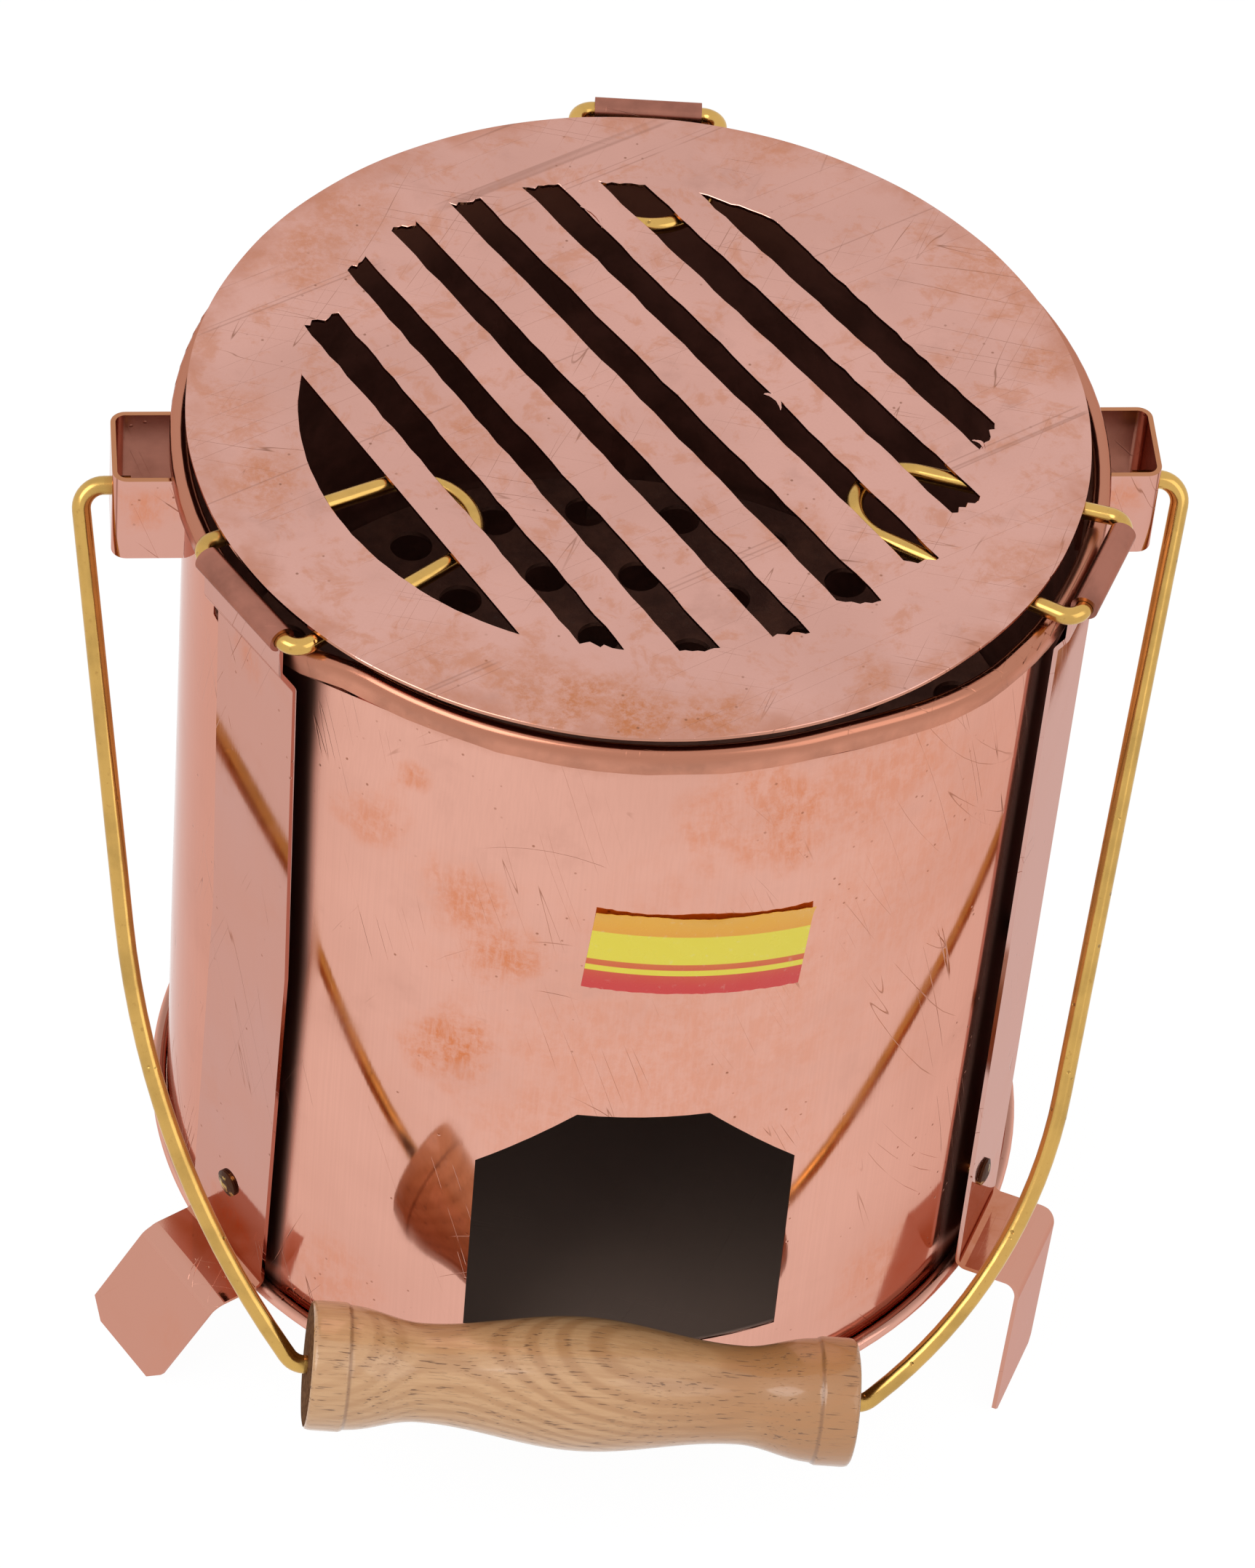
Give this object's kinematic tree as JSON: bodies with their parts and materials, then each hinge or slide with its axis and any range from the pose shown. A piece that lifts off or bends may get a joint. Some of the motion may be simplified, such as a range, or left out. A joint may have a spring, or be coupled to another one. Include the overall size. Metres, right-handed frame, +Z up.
{
  "type": "charcoal brazier",
  "caption": "Portable copper charcoal brazier: round drum with a slotted top grate, draught door, strap legs, wire pot rests and a bail with a wooden grip.",
  "frame": {"origin": "on the floor under the drum, on the drum's axis", "axes": "+Z up along the drum's axis, -Y out of the draught door, +X to the right of someone who faces the door"},
  "size_m": [0.2238, 0.2351, 0.2251],
  "materials": {
    "copper": "polished copper sheet with brown tarnish and fine scratches",
    "brass": "drawn brass, slightly dull",
    "oak": "turned light oak, clear varnish",
    "steel_plate": "bare steel plate, dull and sooty",
    "steel_wire": "bare steel wire, hidden in the rim",
    "label": "glossy printed paper"
  },
  "bodies": {
    "drum": {"shell_wall": "copper", "rim_wire": "steel_wire", "base_pan": "copper", "leg_front_left": "copper", "leg_front_right": "copper", "leg_back": "copper", "leg_rivets": "brass", "bail_bracket_left": "copper", "bail_bracket_right": "copper", "grate_lug_front_left": "copper", "grate_lug_front_right": "copper", "grate_lug_back": "copper", "lug_rivets": "brass", "paper_label": "label"},
    "bail": {"bail_wire": "brass"},
    "grip": {"bail_grip": "oak"},
    "pot_rest_front_left": {"pot_rest_front_left": "brass"},
    "pot_rest_front_right": {"pot_rest_front_right": "brass"},
    "pot_rest_back": {"pot_rest_back": "brass"},
    "top_grate": {"top_grate": "copper"},
    "fire_grate": {"fire_grate": "steel_plate"}
  },
  "joints": [
    {"name": "bail_hinge", "type": "hinge", "parent": "drum", "child": "bail", "pos_m": [0, 0.005, 0.2015], "axis": [-1, 0, 0], "range_deg": [0, 290.3]},
    {"name": "grip_spin", "type": "hinge", "parent": "bail", "child": "grip", "pos_m": [-0.0095, -0.10296, 0.0508], "axis": [0.9959, -0.0528, -0.0737], "continuous": true},
    {"name": "top_grate_lift", "type": "slide", "parent": "drum", "child": "top_grate", "axis": [0, 0, 1], "range_m": [0, 0.25]},
    {"name": "fire_grate_lift", "type": "slide", "parent": "drum", "child": "fire_grate", "axis": [0, 0, 1], "range_m": [0, 0.125]},
    {"name": "pot_rest_front_left_hinge", "type": "hinge", "parent": "drum", "child": "pot_rest_front_left", "pos_m": [-0.08037, -0.04829, 0.22208], "axis": [0.515, -0.8572, 0], "range_deg": [0, 262.3]},
    {"name": "pot_rest_front_right_hinge", "type": "hinge", "parent": "drum", "child": "pot_rest_front_right", "pos_m": [0.08636, -0.04212, 0.22208], "axis": [0.4384, 0.8988, 0], "range_deg": [0, 262.3]},
    {"name": "pot_rest_back_hinge", "type": "hinge", "parent": "drum", "child": "pot_rest_back", "pos_m": [0.00817, 0.09341, 0.22208], "axis": [-0.9962, 0.0872, 0], "range_deg": [0, 262.3]}
  ],
  "couplings": [
    {"joint": "fire_grate_lift", "follows": "top_grate_lift", "ratio": 0.5},
    {"joint": "pot_rest_front_left_hinge", "follows": "top_grate_lift", "rad_per_m": 18.3},
    {"joint": "pot_rest_front_right_hinge", "follows": "top_grate_lift", "rad_per_m": 18.3},
    {"joint": "pot_rest_back_hinge", "follows": "top_grate_lift", "rad_per_m": 18.3}
  ]
}
